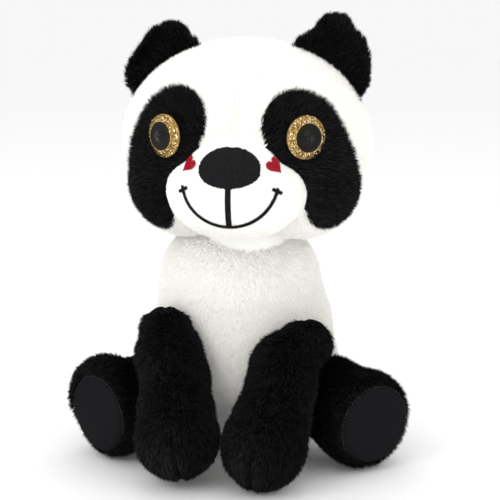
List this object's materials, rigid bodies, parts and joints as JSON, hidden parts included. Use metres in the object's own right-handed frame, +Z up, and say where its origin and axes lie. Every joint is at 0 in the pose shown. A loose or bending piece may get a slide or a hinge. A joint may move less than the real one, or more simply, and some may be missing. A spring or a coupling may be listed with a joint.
{
  "type": "plush panda",
  "caption": "Sitting plush panda: white head and body, long-pile black ears, eye patches, arms and legs, velour muzzle and soles, gold glitter eyes, embroidered smile and cheek hearts.",
  "frame": {"origin": "on the floor, on the flat face the toy sits on, under the middle of the neck", "axes": "+Z up, the toy faces -Y, X = 0 is its plane of symmetry and its own left side is at +X"},
  "size_m": [0.2044, 0.1894, 0.2553],
  "materials": {
    "white_pile": "matte",
    "black_pile": "matte",
    "muzzle_velour": "matte",
    "sole_velour": "matte",
    "nose_thread": "satin",
    "black_thread": "satin",
    "red_thread": "satin",
    "gold_glitter": "satin",
    "pupil_plastic": "gloss",
    "washer_plastic": "matte",
    "fibre_filling": "matte",
    "pellet_cloth": "matte",
    "label_satin": "satin"
  },
  "bodies": {
    "torso": {"belly_panel": "white_pile", "back_panel_left": "white_pile", "back_panel_right": "white_pile", "base_panel": "white_pile", "torso_stuffing": "fibre_filling", "pellet_bag": "pellet_cloth", "tail_cover": "white_pile", "tail_stuffing": "fibre_filling", "care_label": "label_satin"},
    "neck": {"neck_stuffing": "fibre_filling"},
    "head": {"face_panel_left": "white_pile", "face_panel_right": "white_pile", "head_back_left": "white_pile", "head_back_right": "white_pile", "eye_patch_left": "black_pile", "eye_patch_right": "black_pile", "muzzle_cover": "muzzle_velour", "head_stuffing": "fibre_filling", "nose_pad": "nose_thread", "mouth_embroidery": "black_thread", "cheek_heart_left": "red_thread", "cheek_heart_right": "red_thread", "eye_iris_left": "gold_glitter", "eye_iris_right": "gold_glitter", "eye_pupil_left": "pupil_plastic", "eye_pupil_right": "pupil_plastic", "eye_washer_left": "washer_plastic", "eye_washer_right": "washer_plastic"},
    "ear_left": {"ear_front_left": "black_pile", "ear_back_left": "black_pile"},
    "arm_left": {"arm_outer_left": "black_pile", "arm_inner_left": "black_pile", "arm_stuffing_left": "fibre_filling"},
    "leg_left": {"leg_outer_left": "black_pile", "leg_inner_left": "black_pile", "sole_pad_left": "sole_velour", "leg_stuffing_left": "fibre_filling"},
    "ear_right": {"ear_front_right": "black_pile", "ear_back_right": "black_pile"},
    "arm_right": {"arm_outer_right": "black_pile", "arm_inner_right": "black_pile", "arm_stuffing_right": "fibre_filling"},
    "leg_right": {"leg_outer_right": "black_pile", "leg_inner_right": "black_pile", "sole_pad_right": "sole_velour", "leg_stuffing_right": "fibre_filling"}
  },
  "joints": [
    {"name": "neck_turn", "type": "hinge", "parent": "torso", "child": "neck", "pos_m": [0, 0, 0.13], "axis": [0, 0, 1], "range_deg": [-35, 35], "stiffness_Nm_per_rad": 0.3},
    {"name": "head_nod", "type": "hinge", "parent": "neck", "child": "head", "pos_m": [0, 0, 0.13], "axis": [1, 0, 0], "range_deg": [-15, 12], "stiffness_Nm_per_rad": 1},
    {"name": "ear_left_fold", "type": "hinge", "parent": "head", "child": "ear_left", "pos_m": [0.053, 0.004, 0.234], "axis": [0.8, 0, -0.6], "range_deg": [-15, 60], "stiffness_Nm_per_rad": 0.006},
    {"name": "ear_right_fold", "type": "hinge", "parent": "head", "child": "ear_right", "pos_m": [-0.053, 0.004, 0.234], "axis": [0.8, 0, 0.6], "range_deg": [-15, 60], "stiffness_Nm_per_rad": 0.006},
    {"name": "arm_left_lift", "type": "hinge", "parent": "torso", "child": "arm_left", "pos_m": [0.036, -0.039, 0.0745], "axis": [-1, 0, 0], "range_deg": [0, 74], "stiffness_Nm_per_rad": 0.03},
    {"name": "arm_right_lift", "type": "hinge", "parent": "torso", "child": "arm_right", "pos_m": [-0.041, -0.04, 0.079], "axis": [-1, 0, 0], "range_deg": [0, 74], "stiffness_Nm_per_rad": 0.03},
    {"name": "leg_left_swing", "type": "hinge", "parent": "torso", "child": "leg_left", "pos_m": [0.05, -0.014, 0.0298], "axis": [0, 0, 1], "range_deg": [0, 15], "stiffness_Nm_per_rad": 0.05},
    {"name": "leg_right_swing", "type": "hinge", "parent": "torso", "child": "leg_right", "pos_m": [-0.05, -0.014, 0.0298], "axis": [0, 0, -1], "range_deg": [0, 15], "stiffness_Nm_per_rad": 0.05}
  ]
}
